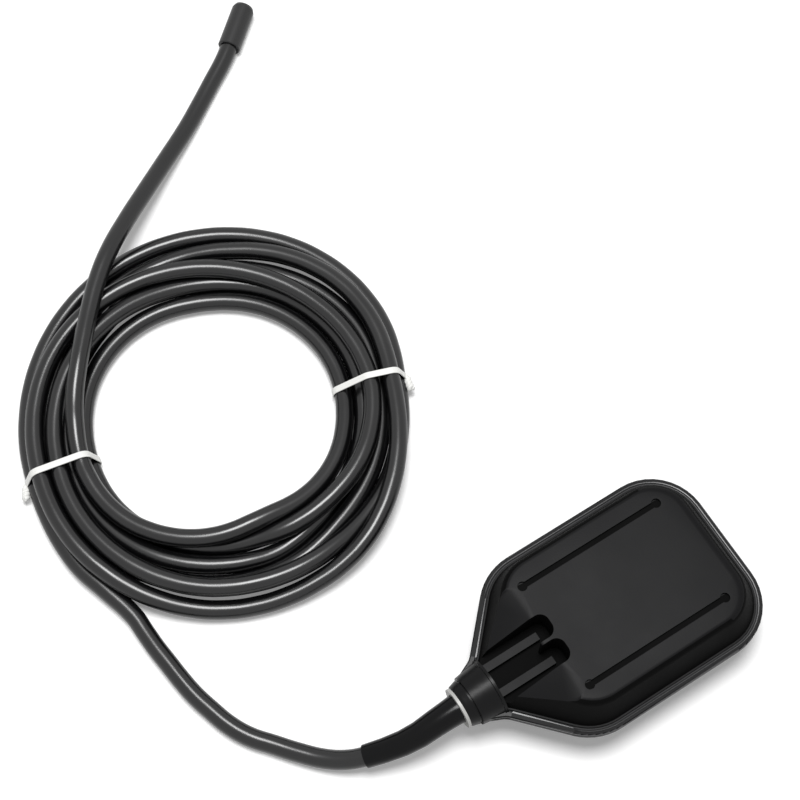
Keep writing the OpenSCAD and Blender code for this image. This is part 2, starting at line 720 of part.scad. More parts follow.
function coil_ring(a) =
    let (
        turn = a + coil_turn, out = [cos(turn), sin(turn)],
        centre = [neck_x + coil_centre.x, coil_centre.y],
        corners = [
            [coil_out(a) - coil_round, coil_bottom_z + coil_round, 0],
            [coil_hole_r + coil_round, coil_bottom_z + coil_round, 90],
            [coil_hole_r + coil_round, coil_top_z - coil_round, 180],
            [coil_out(a) - coil_round, coil_top_z - coil_round, 270]
        ]
    )
    [
        for (c = corners, b = [0, 45, 90])
            let (p = centre + out * (c[0] + coil_round * cos(c[2] + b)))
            [p.x, p.y, c[1] - coil_round * sin(c[2] + b)]
    ];

module cable_coil() color("#2e2e2e") skin([for (a = [0:7.5:359]) coil_ring(a)], looped = true);

module cable_tail() {
    last = route_point(tail_points[len(tail_points) - 1]);
    color("#2e2e2e") tube(
        concat([for (p = tail_points) route_point(p)],
        [last + cap_depth * [cos(cap_turn), sin(cap_turn), 0]]), cable_r, 12
    );
}

// Sleeve cap over the free end of the cable
module end_cap() {
    at = route_point(tail_points[len(tail_points) - 1]);
    color("#0c0c0c") translate(at) rotate([0, 0, cap_turn]) difference() {
        turned([
            [0, 0], [cap_r - 0.4, 0], [cap_r, 0.4], [cap_r, cap_l - 2.5],
            [cap_r - 0.7, cap_l - 0.8], [cap_r - 2.4, cap_l], [0, cap_l]
        ]);
        rod_x(-cut, cap_depth + slack, cable_r + slack);
    }
}

// Tie cord round the bundle, with its knot on the outside
module tie(turn) {
    out = coil_out(turn - coil_turn);
    knot_r = tie_w * 0.8;
    color("#f2f2f0") translate([neck_x + coil_centre.x, coil_centre.y, 0]) rotate([0, 0, turn]) {
        rotate([90, 0, 0]) linear_extrude(tie_w, center = true) difference() {
            round_rect(coil_hole_r - tie_t, out + tie_t, 0, coil_top_z + tie_t, coil_round + tie_t);
            round_rect(coil_hole_r, out, coil_bottom_z, coil_top_z, coil_round);
        }
        translate([out + tie_t + knot_r * 0.6, 0, coil_top_z / 2]) sphere(r = knot_r);
    }
}

module tie_left() tie(tie_left_turn);
module tie_right() tie(tie_right_turn);

upper_shell();
lower_shell();
gland_washer();
cable_seal();
boot();
capsule_base();
capsule_gasket();
capsule_cover();
cover_screw(0);  // cover_screw_1
cover_screw(1);  // cover_screw_2
cover_screw(2);  // cover_screw_3
cover_screw(3);  // cover_screw_4
cable_clamp();
clamp_screw(1);  // clamp_screw_1
clamp_screw(-1);  // clamp_screw_2
ball_channel();
steel_ball();
switch_case();
switch_plunger();
switch_lever();
lever_pin();
terminal(-blade_y);  // terminal_common
terminal(0);  // terminal_open
terminal(blade_y);  // terminal_closed
wire_brown();
wire_blue();
wire_black();
cable_inside();
cable_lead();
cable_coil();
cable_tail();
end_cap();
tie_left();
tie_right();
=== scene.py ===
"""Cable float switch: the looks of the float, its cable and the switch inside it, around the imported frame."""

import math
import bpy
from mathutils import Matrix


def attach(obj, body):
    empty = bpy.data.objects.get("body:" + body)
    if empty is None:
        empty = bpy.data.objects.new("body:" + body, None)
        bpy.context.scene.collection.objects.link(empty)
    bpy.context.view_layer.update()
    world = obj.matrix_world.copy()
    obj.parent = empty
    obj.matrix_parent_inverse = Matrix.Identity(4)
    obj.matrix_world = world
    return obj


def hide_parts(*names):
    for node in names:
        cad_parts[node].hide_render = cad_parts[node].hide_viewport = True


bl_info = {
    "name": "Cable float switch",
    "version": (1, 0, 0),
    "blender": (4, 5, 0),
    "location": "3D Viewport > Sidebar > Float switch",
    "description": "Dresses a cable float switch with its coiled cable, ties and studio stage",
    "category": "Object",
}

from functools import lru_cache

import bmesh
import bpy
import numpy as np
from mathutils import Matrix, Vector
from mathutils.geometry import convex_hull_2d

MM = 0.001
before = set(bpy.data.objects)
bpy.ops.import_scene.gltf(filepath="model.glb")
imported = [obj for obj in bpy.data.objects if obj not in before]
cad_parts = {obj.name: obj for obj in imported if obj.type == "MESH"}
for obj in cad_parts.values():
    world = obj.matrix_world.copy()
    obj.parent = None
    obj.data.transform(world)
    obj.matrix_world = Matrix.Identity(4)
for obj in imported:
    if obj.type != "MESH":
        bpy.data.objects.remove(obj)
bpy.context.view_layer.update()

# The cable's route in the frame, in millimetres: from the neck to the coil, and from the coil to its end
NECK = -65.5
AXIS_Z = 20.75
LEAD = [
    (0, 0, AXIS_Z), (-1.5, 0, AXIS_Z), (-5, 0, 20.4), (-10.5, 0, 19.5), (-17.5, 0, 17.5), (-24.5, 1, 15),
    (-32, 3, 12.5), (-39.5, 5.5, 10), (-46.5, 9, 7.5), (-53.5, 14.5, 5.5), (-60.5, 22, 4.5),
    (-67.5, 30.5, 4), (-74, 38.5, 4), (-78.5, 47, 4), (-81.5, 56, 4), (-84, 65, 4),
    (-85.5, 74, 4), (-86.5, 82.5, 4), (-87.5, 91, 4), (-88, 99, 4), (-88.5, 107, 4.2),
]
TAIL = [
    (-68.5, 190.5, 15.5), (-63, 200, 18.5), (-56, 209.5, 20.4),
    (-48, 219.5, 20.8), (-38.5, 231, 20.8), (-28.5, 242, 20.8), (-18, 251.5, 20.3),
    (-2.5, 263.5, 16.5), (11.5, 273.5, 12.5), (28, 285, 8), (45.5, 296.5, 5),
    (57, 304.5, 4.2), (68.5, 312.5, 4.2), (77.5, 318.5, 4.7), (84, 323.5, 5.25),
    (90, 328.8, 5.25),
]
COIL_CENTRE = (NECK - 17.2, 163.8)
RING_BOTTOM = 0.8
# The float's features above its middle plane: its panel, slots, neck pockets and welded rim
PANEL_HEIGHT = 20.75
SLOT_START = NECK + 43.2
SLOT_END = 65.5 - 19.2
SLOT_Y = 23.3
SLOT_W = 2.4
SLOT_END_D = 4.0
POCKET_START = NECK + 16.2
POCKET_END = NECK + 46.5
POCKET_HALF_W = 10.8
POCKET_FLOOR = 6.6
WELD_HEIGHT = 2.4
WELD_START = NECK + 17.5
# Each tie: its angle on the coil, where on its line its twisted ends stand, and which way they point,
# with x away from the coil's centre, y up and z against the turn
TIES = {
    "tie_left": (168.0, 0.0, (0.30, 0.0, -0.95)),
    "tie_right": (-18.6, 0.3, (0.10, 0.05, 1.0)),
}

# The coil, from its first turn to its last: how many turns are done, how far the cable lies from the
# coil's centre, and its height, in millimetres. Four strands lie below and three above at the left tie
ENTRY_TURN = 219.0
WINDING = [
    (0.03, 86.0, 4.8), (0.10, 79.8, 4.8), (0.14, 77.4, 4.8), (0.20, 78.4, 4.8), (0.25, 80.8, 4.8),
    (0.30, 83.6, 5.2), (0.35, 86.2, 6.0), (0.40, 88.2, 6.5), (0.45, 89.6, 6.5), (0.50, 90.0, 6.3),
    (0.55, 88.6, 5.8), (0.60, 85.6, 5.0), (0.66, 79.4, 4.8), (0.70, 78.6, 4.8), (0.75, 78.6, 4.8),
    (0.80, 77.6, 6.5), (0.85, 77.4, 9.5), (0.90, 76.8, 11.0), (0.95, 76.2, 11.5),
    (1.00, 74.4, 12.0), (1.05, 72.3, 12.0), (1.10, 70.4, 11.9), (1.14, 68.4, 11.8), (1.20, 67.0, 12.0),
    (1.25, 66.4, 12.2), (1.30, 65.6, 11.5), (1.35, 65.2, 9.5), (1.40, 64.6, 7.0), (1.45, 65.0, 5.4),
    (1.50, 65.6, 4.8), (1.60, 65.6, 4.8), (1.66, 65.0, 4.8), (1.75, 64.2, 4.8), (1.80, 64.2, 5.5),
    (1.85, 64.8, 8.0), (1.90, 65.6, 10.0), (1.95, 66.4, 11.0),
    (2.00, 66.4, 10.5), (2.05, 65.4, 8.5), (2.10, 64.4, 6.0), (2.14, 63.8, 4.8), (2.20, 64.2, 4.8),
    (2.30, 66.5, 4.8), (2.35, 69.0, 4.8), (2.40, 71.6, 4.8), (2.45, 73.2, 5.0), (2.50, 74.4, 5.4),
    (2.55, 75.8, 5.2), (2.60, 75.4, 4.8), (2.66, 71.8, 4.8), (2.72, 71.2, 4.8), (2.80, 70.4, 4.8),
    (2.90, 70.2, 4.8),
    (3.00, 71.0, 4.8), (3.05, 71.4, 4.8), (3.14, 71.2, 4.8), (3.20, 71.6, 4.8), (3.25, 73.2, 4.8),
    (3.30, 75.8, 4.8), (3.35, 77.6, 4.8), (3.40, 77.6, 6.0), (3.45, 79.0, 9.0), (3.50, 82.0, 11.0),
    (3.55, 83.2, 12.0), (3.60, 81.8, 12.0), (3.66, 77.8, 12.0), (3.70, 78.4, 12.8), (3.75, 80.6, 12.6),
    (3.80, 82.6, 10.5), (3.85, 83.8, 7.5), (3.90, 84.2, 5.4), (3.95, 83.8, 5.4),
    (4.00, 82.6, 8.5), (4.05, 80.6, 11.5), (4.10, 77.6, 12.0), (4.14, 76.0, 11.9), (4.20, 75.6, 12.0),
    (4.25, 75.4, 12.4), (4.30, 74.4, 12.6), (4.35, 72.6, 12.8), (4.40, 70.2, 13.0), (4.45, 68.6, 13.0),
    (4.50, 67.8, 12.6), (4.55, 67.6, 12.0), (4.60, 68.2, 11.8), (4.66, 69.0, 11.8), (4.70, 68.2, 11.9),
    (4.75, 66.6, 12.0), (4.80, 63.6, 11.0), (4.85, 60.8, 8.5), (4.90, 58.6, 6.0), (4.95, 57.4, 4.8),
    (5.00, 57.0, 4.8), (5.14, 56.6, 4.8), (5.20, 57.4, 5.6), (5.30, 58.4, 8.0), (5.35, 58.8, 9.0),
    (5.40, 59.0, 9.8), (5.45, 59.2, 10.0), (5.50, 59.4, 10.0), (5.60, 59.2, 9.6), (5.66, 58.8, 9.2),
    (5.70, 58.2, 9.2), (5.75, 57.6, 9.6), (5.80, 57.0, 10.2), (5.85, 56.8, 10.8), (5.90, 56.8, 11.2),
    (5.95, 57.2, 11.8), (6.00, 57.8, 12.2), (6.05, 58.6, 12.4), (6.10, 58.5, 12.8), (6.14, 58.2, 13.4),
]
POINTS_A_TURN = 40
# How the coil's drawn line is smoothed, in steps of a four-hundredth of a turn
FINE_STEPS = 400
EASE_STEPS = 27
# How the loose cable settles: in how many rounds, its stiffness, what it keeps of a move sideways, how far
# it sinks in each round and in which share of them, and how much of an overlap one round pushes apart
SETTLE_ROUNDS = 260
STIFFNESS = 0.25
SIDEWAYS_KEPT = 0.985
SINK = 0.04
SINKING_ROUNDS = 0.7
PUSH = 0.3
# The ties: points round a strand, the farthest strand from the coil's centre and the step along the ribbon,
# in millimetres, then the twisted ends' points, their step in millimetres and the twist at each in radians
STRAND_POINTS = 36
COIL_REACH = 100
RIBBON_STEP = 1.2
TWIST_POINTS = 17
TWIST_STEP = 0.4
TWIST_TURN = 0.75
# Vertices of a copied solid that lie this near are one, and its chosen edges are rounded by this, in metres
SAME_POINT = 1e-6
EDGE_ROUND = 0.45 * MM
# The places in the shell's list of materials of its painted shade, its pressed band with painted light and its
# turned neck, after its satin finish
PAINTED_SHADE, PRESSED_AND_LIT, TURNED = 1, 2, 3
# The photograph's camera: its place and aim in the frame, its lens and its sensor, in millimetres
CAMERA_PLACE = (-175.4, -130.5, 737.5)
CAMERA_AIM = (-8.8, 131.0, 0)
LENS, SENSOR = 82.8, 36
# The white studio: half the floor's side, the light that comes from all round, and the round softbox
# overhead, in metres and watts
FLOOR_HALF = 4.0
ROOM_LIGHT = 0.22
SOFTBOX_PLACE = (0.02, 0.22, 1.80)
SOFTBOX_AIM = (-0.03, 0.12, 0)
SOFTBOX_WIDTH, SOFTBOX_POWER = 0.75, 30


class FloatSwitchCable(bpy.types.PropertyGroup):
    """Sizes and colours of the cable and its ties"""

    diameter: bpy.props.FloatProperty(
        name="Cable diameter", description="Outside diameter of the sheath", default=8 * MM,
        min=6 * MM, max=8.1 * MM, subtype="DISTANCE", unit="LENGTH")
    ribbon: bpy.props.FloatProperty(
        name="Tie width", description="Width of the ribbon of a tie", default=2.9 * MM,
        min=2 * MM, max=4 * MM, subtype="DISTANCE", unit="LENGTH")
    ribbon_thickness: bpy.props.FloatProperty(
        name="Tie thickness", description="Thickness of the ribbon over its wire", default=0.8 * MM,
        min=0.6 * MM, max=0.8 * MM, subtype="DISTANCE", unit="LENGTH")
    sheath: bpy.props.StringProperty(
        name="Sheath colour", description="Colour of the sheath as hex sRGB", default="0A0A0B")
    tie: bpy.props.StringProperty(
        name="Tie colour", description="Colour of the ties as hex sRGB", default="F1F1EE")


class FloatSwitchBody(bpy.types.PropertyGroup):
    """Colours of the float"""

    shell: bpy.props.StringProperty(
        name="Shell colour", description="Colour of the moulded shells as hex sRGB", default="111112")
    # The weld's colour is greyer than the shell's: painted light where the rim catches the lamp
    weld: bpy.props.StringProperty(
        name="Weld colour", description="Colour of the pressed rim as hex sRGB", default="333334")
    washer: bpy.props.StringProperty(
        name="Washer colour", description="Colour of the ring at the neck as hex sRGB", default="B9B9B6")
    grain: bpy.props.FloatProperty(
        name="Grain", description="Size of the moulded grain", default=0.6 * MM,
        min=0.2 * MM, max=2 * MM, subtype="DISTANCE", unit="LENGTH")


def linear(code):
    """A hex sRGB colour as linear RGBA."""
    parts = [int(code[i:i + 2], 16) / 255 for i in (0, 2, 4)]
    return (*(c / 12.92 if c <= 0.04045 else ((c + 0.055) / 1.055) ** 2.4 for c in parts), 1.0)


def add(tree, kind, links=(), **settings):
    """A node with its settings, and with links from (node, output) to its inputs."""
    node = tree.nodes.new(kind)
    for name, value in settings.items():
        if hasattr(node, name):
            setattr(node, name, value)
        else:
            node.inputs[name.replace("_", " ")].default_value = value
    for name, (source, output) in dict(links).items():
        tree.links.new(source.outputs[output], node.inputs[name])
    return node


def surface(name, colour, rough, grain, depth, spread=0.12, metallic=0.0, stretch=(1, 1, 1), **shader):
    """A moulded, extruded or rolled surface: grain in metres, its depth, and how far the tone wanders."""
    material = bpy.data.materials.new(name)
    material.use_nodes = True
    tree = material.node_tree
    tree.nodes.clear()
    tint = linear(colour)
    place = add(tree, "ShaderNodeTexCoord")
    scale = add(tree, "ShaderNodeMapping", {"Vector": (place, "Object")}, Scale=stretch)
    fine = add(tree, "ShaderNodeTexNoise", {"Vector": (scale, "Vector")}, Scale=1 / grain, Detail=3.0)
    broad = add(tree, "ShaderNodeTexNoise", {"Vector": (scale, "Vector")}, Scale=1 / (40 * grain), Detail=4.0)
    tone = add(tree, "ShaderNodeMapRange", {"Value": (broad, "Fac")}, To_Min=1 - spread, To_Max=1 + spread)
    mixed = add(tree, "ShaderNodeVectorMath", {"Scale": (tone, "Result")}, operation="SCALE")
    mixed.inputs[0].default_value = tint[:3]
    wear = add(tree, "ShaderNodeMapRange", {"Value": (broad, "Fac")}, From_Min=0.3, From_Max=0.7,
               To_Min=rough - 0.04, To_Max=rough + 0.05)
    bump = add(tree, "ShaderNodeBump", {"Height": (fine, "Fac")}, Strength=0.35, Distance=depth)
    skin = add(tree, "ShaderNodeBsdfPrincipled",
               {"Base Color": (mixed, "Vector"), "Roughness": (wear, "Result"), "Normal": (bump, "Normal")},
               Metallic=metallic, **shader)
    add(tree, "ShaderNodeOutputMaterial", {"Surface": (skin, "BSDF")})
    return material


def give(piece, material):
    """The piece wears this one material."""
    piece.data.materials.clear()
    piece.data.materials.append(material)
    for face in getattr(piece.data, "polygons", ()):
        face.material_index = 0


def whole(node, name, material, body="float", angle=28, edges=None):
    """A copy of a CAD solid with its doubles merged, and some of its sharp edges rounded."""
    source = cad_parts[node]
    form = bmesh.new()
    form.from_mesh(source.data)
    bmesh.ops.remove_doubles(form, verts=form.verts, dist=SAME_POINT)
    bmesh.ops.dissolve_degenerate(form, edges=form.edges, dist=SAME_POINT)
    if edges:
        sharp = math.radians(50)
        corners = [e for e in form.edges if e.is_manifold and e.calc_face_angle(0) > sharp and edges(e)]
        bmesh.ops.bevel(form, geom=corners, offset=EDGE_ROUND, segments=2, profile=0.5, affect="EDGES",
                        clamp_overlap=True, material=-1)
    for face in form.faces:
        face.smooth = True
    for edge in form.edges:
        edge.smooth = edge.is_manifold and edge.calc_face_angle(0) < math.radians(angle)
    mesh = bpy.data.meshes.new(name)
    form.to_mesh(mesh)
    form.free()
    if "custom_normal" in mesh.attributes:
        mesh.attributes.remove(mesh.attributes["custom_normal"])
    piece = bpy.data.objects.new(name, mesh)
    even = piece.modifiers.new("even_flats", "WEIGHTED_NORMAL")
    even.keep_sharp = True
    even.weight = 80
    bpy.context.scene.collection.objects.link(piece)
    give(piece, material)
    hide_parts(node)
    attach(piece, body)
    return piece


def winding_points():
    """The cable's centre line round the coil, before it settles."""
    done, reach, height = (np.array(column) for column in zip(*WINDING))
    fine = np.arange(done[0], done[-1], 1 / FINE_STEPS)
    ease = np.hanning(EASE_STEPS) / np.hanning(EASE_STEPS).sum()
    soft = [np.convolve(np.pad(np.interp(fine, done, column), EASE_STEPS // 2, mode="edge"), ease, "valid")
            for column in (reach, height)]
    t = np.linspace(done[0], done[-1], round((done[-1] - done[0]) * POINTS_A_TURN) + 1)
    r, z = (np.interp(t, fine, column) for column in soft)
    a = np.radians(ENTRY_TURN - 360 * t)
    x, y = COIL_CENTRE[0] + r * np.cos(a), COIL_CENTRE[1] + r * np.sin(a)
    return [tuple(p) for p in np.stack([x, y, z], 1)]


def settle(route, loose, diameter):
    """The loose points of the route sink and give way until the cable lies on itself and not in itself."""
    home = np.array(route, float)
    place = home.copy()
    free = np.zeros((len(route), 1))
    free[loose[0]:loose[1]] = 1
    along = np.concatenate([[0], np.cumsum(np.linalg.norm(np.diff(home, axis=0), axis=1))])
    far = np.abs(along[:, None] - along[None, :-1]) > 3 * diameter
    for k in range(SETTLE_ROUNDS):
        shift = place - home
        shift[1:-1] += STIFFNESS * ((shift[:-2] + shift[2:]) / 2 - shift[1:-1])
        shift[:, :2] *= SIDEWAYS_KEPT
        shift[:, 2] -= SINK if k < SETTLE_ROUNDS * SINKING_ROUNDS else 0
        place = home + free * shift
        start, step = place[:-1], np.diff(place, axis=0)
        reach = place[:, None] - start[None]
        s = np.clip((reach * step).sum(2) / (step * step).sum(1), 0, 1)
        apart = reach - s[..., None] * step
        gap = np.linalg.norm(apart, axis=2)
        lacking = np.where(far & (gap < diameter), (diameter - gap) / np.maximum(gap, 1e-6), 0)
        push = lacking[..., None] * apart * PUSH
        place += push.sum(1) * free
        place[:-1] -= (push * (1 - s[..., None])).sum(0) * free[:-1]
        place[1:] -= (push * s[..., None]).sum(0) * free[1:]
        place[:, 2] = np.maximum(place[:, 2], RING_BOTTOM + diameter / 2)
        place = home + free * (place - home)
    return place


@lru_cache
def cable_route(diameter):
    """The whole cable in millimetres: its lead, its settled turns and its tail."""
    lead, tail = ([(NECK + x, y, z) for x, y, z in part] for part in (LEAD, TAIL))
    turns = winding_points()
    return settle(lead + turns + tail, (len(lead), len(lead) + len(turns) + 3), diameter)


def curve_piece(name, lines, radius, closed=False, resolution=5):
    """A round cord along smooth lines of points in millimetres."""
    curve = bpy.data.curves.new(name, "CURVE")
    curve.dimensions = "3D"
    curve.bevel_depth = radius
    curve.bevel_resolution = 6
    curve.resolution_u = resolution
    curve.use_fill_caps = True
    for line in lines:
        spline = curve.splines.new("BEZIER")
        spline.bezier_points.add(len(line) - 1)
        for knot, point in zip(spline.bezier_points, line):
            knot.co = Vector(point) * MM
            knot.handle_left_type = knot.handle_right_type = "AUTO"
        spline.use_cyclic_u = closed
    piece = bpy.data.objects.new(name, curve)
    bpy.context.scene.collection.objects.link(piece)
    return piece


class SWITCH_OT_shells(bpy.types.Operator):
    """Dresses the two moulded shells"""

    bl_idname = "float_switch.shells"
    bl_label = "Float shells"

    def execute(self, context):
        look = context.scene.float_switch_body
        # Black polypropylene, injection moulded with a satin grain: dark, with a faint sheen on its flats
        satin = surface("polypropylene_black_moulded", look.shell, 0.42, look.grain, 0.05 * MM, spread=0.16,
                        IOR=1.49, Specular_IOR_Level=0.09)
        # The same plastic on the steep walls and in the slots and pockets, rougher, darkened to near black and
        # with its sheen
        # taken down: painted shade where little light comes back
        dull = surface("polypropylene_black_painted_shade", "070707", 0.65, look.grain, 0.05 * MM, spread=0.10,
                       IOR=1.49, Specular_IOR_Level=0.04)
        # The same plastic at the weld, pressed smooth by the hot tool: a glossier band, its greyer colour
        # painted light that the rim catches
        pressed = surface("polypropylene_black_welded_painted_light", look.weld, 0.32, 1.2 * MM, 0.06 * MM, spread=0.22,
                          IOR=1.49, Specular_IOR_Level=0.5)
        # The same plastic where the neck is turned true: near black, with one soft highlight
        turned = surface("polypropylene_black_turned", "0A0A0B", 0.34, 1.2 * MM, 0.03 * MM, spread=0.10,
                         IOR=1.49, Specular_IOR_Level=0.16)
        for node in ("upper_shell", "lower_shell"):
            piece = whole(node, node + "_moulding", satin, edges=self.weld_edge)
            for material in (dull, pressed, turned):
                piece.data.materials.append(material)
            side = 1 if node == "upper_shell" else -1
            for face in piece.data.polygons:
                x, y, z = (c / MM for c in face.center)
                above = side * (z - AXIS_Z)
                steep = WELD_HEIGHT < above < PANEL_HEIGHT - 0.05 and abs(face.normal.z) < 0.85
                if x < POCKET_START:
                    face.material_index = TURNED
                elif steep or self.in_recess(x, abs(y), above, side * face.normal.z):
                    # near black with little sheen: painted shade on the walls and in the slots and pockets
                    face.material_index = PAINTED_SHADE
                elif -0.1 < above < WELD_HEIGHT and x > WELD_START and self.near_rim(face):
                    # greyer than the shell: painted light on the rim's band, which is also glossier
                    face.material_index = PRESSED_AND_LIT
        return {"FINISHED"}

    @staticmethod
    def weld_edge(edge):
        """Whether an edge is one of the rim's outer edges, which the weld rounds."""
        heights = [abs(v.co.z / MM - AXIS_Z) for v in edge.verts]
        return max(heights) < WELD_HEIGHT + 0.1 and min(v.co.x / MM for v in edge.verts) > WELD_START

    @staticmethod
    def in_recess(x, y, above, up):
        """Whether a face lies in one of the two long slots or in a neck pocket, other than on a rib's top."""
        slot = abs(y - SLOT_Y) < SLOT_W / 2 + 0.05 and SLOT_START - 0.1 < x < SLOT_END + 0.1
        for end in (SLOT_START, SLOT_END):
            slot = slot or math.hypot(x - end, y - SLOT_Y) < SLOT_END_D / 2 + 0.05
        if slot and PANEL_HEIGHT - 1.5 < above < PANEL_HEIGHT - 0.05:
            return True
        pocket = POCKET_START < x < POCKET_END + 0.1 and y < POCKET_HALF_W + 0.1
        rib_top = up > 0.9 and above > POCKET_FLOOR + 0.5
        return pocket and POCKET_FLOOR - 0.3 < above < PANEL_HEIGHT - 0.1 and not rib_top

    @staticmethod
    def near_rim(face):
        """Whether a face lies on the outer band that the weld pressed, and not on the wall behind it."""
        return face.normal.z ** 2 > 0.5 or abs(face.center.z / MM - AXIS_Z) < WELD_HEIGHT - 0.2


class SWITCH_OT_neck(bpy.types.Operator):
    """Dresses the gland washer, the boot and the seal in the neck"""

    bl_idname = "float_switch.neck"
    bl_label = "Neck and boot"

    def execute(self, context):
        look = context.scene.float_switch_body
        # Natural nylon washer, turned: pale grey with a faint sheen
        whole("gland_washer", "gland_ring",
              surface("nylon_grey_turned", look.washer, 0.42, 0.4 * MM, 0.01 * MM, IOR=1.53))
        # Neoprene, moulded: deep black and smooth, with a broad soft highlight
        rubber = surface("neoprene_black_moulded", "060607", 0.20, 0.5 * MM, 0.02 * MM, IOR=1.52,
                         Specular_IOR_Level=0.14)
        whole("boot", "bend_boot", rubber, angle=50)
        # Nitrile rubber, moulded: dull charcoal
        nitrile = surface("nitrile_charcoal_moulded", "262626", 0.62, 0.5 * MM, 0.03 * MM, IOR=1.52)
        for node in ("cable_seal", "capsule_gasket"):
            give(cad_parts[node], nitrile)
        return {"FINISHED"}


class SWITCH_OT_cable(bpy.types.Operator):
    """Lays the cable from the neck, round its coil and out to its end cap"""

    bl_idname = "float_switch.cable"
    bl_label = "Cable and end cap"

    def execute(self, context):
        look = context.scene.float_switch_cable
        route = cable_route(round(look.diameter / MM, 4))
        cable = curve_piece("cable", [route], look.diameter / 2)
        # Neoprene sheath, extruded: near black, with one long soft highlight and a faint bloom
        sheath = surface("neoprene_sheath_extruded", look.sheath, 0.24, 0.8 * MM, 0.02 * MM, spread=0.18,
                         IOR=1.52, Specular_IOR_Level=0.50)
        give(cable, sheath)
        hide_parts("cable_lead", "cable_coil", "cable_tail")
        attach(cable, "float")
        give(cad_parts["cable_inside"], sheath)
        # Heat shrink cap over the cut end: smooth polyolefin, black
        shrunk = surface("polyolefin_black_shrunk", "101011", 0.38, 0.7 * MM, 0.03 * MM, IOR=1.5)
        cap = whole("end_cap", "end_sleeve", shrunk, angle=40)
        return {"FINISHED"}


class SWITCH_OT_ties(bpy.types.Operator):
    """Pulls a ribbon tie tight round the strands at each side and twists its ends together"""

    bl_idname = "float_switch.ties"
    bl_label = "Ties"

    def execute(self, context):
        look = context.scene.float_switch_cable
        # Polyethylene ribbon over a wire: bright white, soft, with the wire showing as a low ridge
        ribbon = surface("polyethylene_ribbon_white", look.tie, 0.45, 0.9 * MM, 0.06 * MM, spread=0.04,
                         IOR=1.51)
        route = cable_route(round(look.diameter / MM, 4))
        half = look.ribbon / MM / 2
        thin = look.ribbon_thickness / MM / 2
        for node, (turn, end_at, end_way) in TIES.items():
            line = self.tight_line(route, turn, look.diameter / MM / 2 + thin)
            a = math.radians(turn)
            place = Matrix((
                (math.cos(a), 0, math.sin(a), COIL_CENTRE[0] * MM),
                (math.sin(a), 0, -math.cos(a), COIL_CENTRE[1] * MM),
                (0, 1, 0, 0), (0, 0, 0, 1)))
            start = max(line, key=lambda p: p.x * math.cos(end_at) + p.y * math.sin(end_at))
            # A flat band, the wire that shows as a ridge along it, and its two ends
            band = curve_piece(node + "_band", [line], thin * 0.8 * MM, closed=True, resolution=2)
            band.data.extrude = (half - thin * 0.8) * MM
            wire = curve_piece(node + "_wire", [line], thin * MM, closed=True, resolution=2)
            ends = curve_piece(node + "_ends", self.pigtail(start, end_way, thin), thin * 2.4 * MM,
                               resolution=3)
            form = bmesh.new()
            for part in (band, wire, ends):
                part.data.twist_mode = "Z_UP"
                part.data.bevel_resolution = 3
                flat = bpy.data.meshes.new_from_object(part.evaluated_get(context.evaluated_depsgraph_get()))
                flat.transform(place)
                form.from_mesh(flat)
                bpy.data.objects.remove(part)
            bmesh.ops.remove_doubles(form, verts=form.verts, dist=SAME_POINT)
            bmesh.ops.recalc_face_normals(form, faces=form.faces)
            for face in form.faces:
                face.smooth = True
            mesh = bpy.data.meshes.new(node + "_ribbon")
            form.to_mesh(mesh)
            form.free()
            piece = bpy.data.objects.new(node + "_ribbon", mesh)
            context.scene.collection.objects.link(piece)
            give(piece, ribbon)
            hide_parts(node)
            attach(piece, "float")
        return {"FINISHED"}

    @staticmethod
    def tight_line(route, turn, reach):
        """The tight closed line round every strand that crosses the tie's plane."""
        a = math.radians(turn)
        out, side = np.array([math.cos(a), math.sin(a)]), np.array([-math.sin(a), math.cos(a)])
        flat = route[:, :2] - np.array(COIL_CENTRE)
        off = flat @ side
        rim = []
        for i in np.nonzero(off[:-1] * off[1:] <= 0)[0]:
            s = off[i] / (off[i] - off[i + 1])
            far = (flat[i] + s * (flat[i + 1] - flat[i])) @ out
            high = route[i, 2] + s * (route[i + 1, 2] - route[i, 2])
            if 0 < far < COIL_REACH:
                rim += [Vector((far + reach * math.cos(b), high + reach * math.sin(b)))
                        for b in np.linspace(0, 2 * math.pi, STRAND_POINTS, endpoint=False)]
        hull = [rim[i] for i in convex_hull_2d(rim)]
        line = []
        for p, q in zip(hull, hull[1:] + hull[:1]):
            n = max(1, round((q - p).length / RIBBON_STEP))
            line += [p.lerp(q, k / n).to_3d() for k in range(n)]
        return line

    @staticmethod
    def pigtail(start, way, thin):
        """The tie's two ends, twisted together along a short line from the band."""
        way = Vector(way).normalized()
        side = way.orthogonal().normalized()
        up = way.cross(side)
        lines = []
        for phase in (0, math.pi):
            lines.append([
                start + way * (TWIST_STEP * k) + thin * 2.2 * min(1, 0.3 + k / 5) * (
                    math.cos(phase + TWIST_TURN * k) * side + math.sin(phase + TWIST_TURN * k) * up)
                for k in range(TWIST_POINTS)])
        return lines


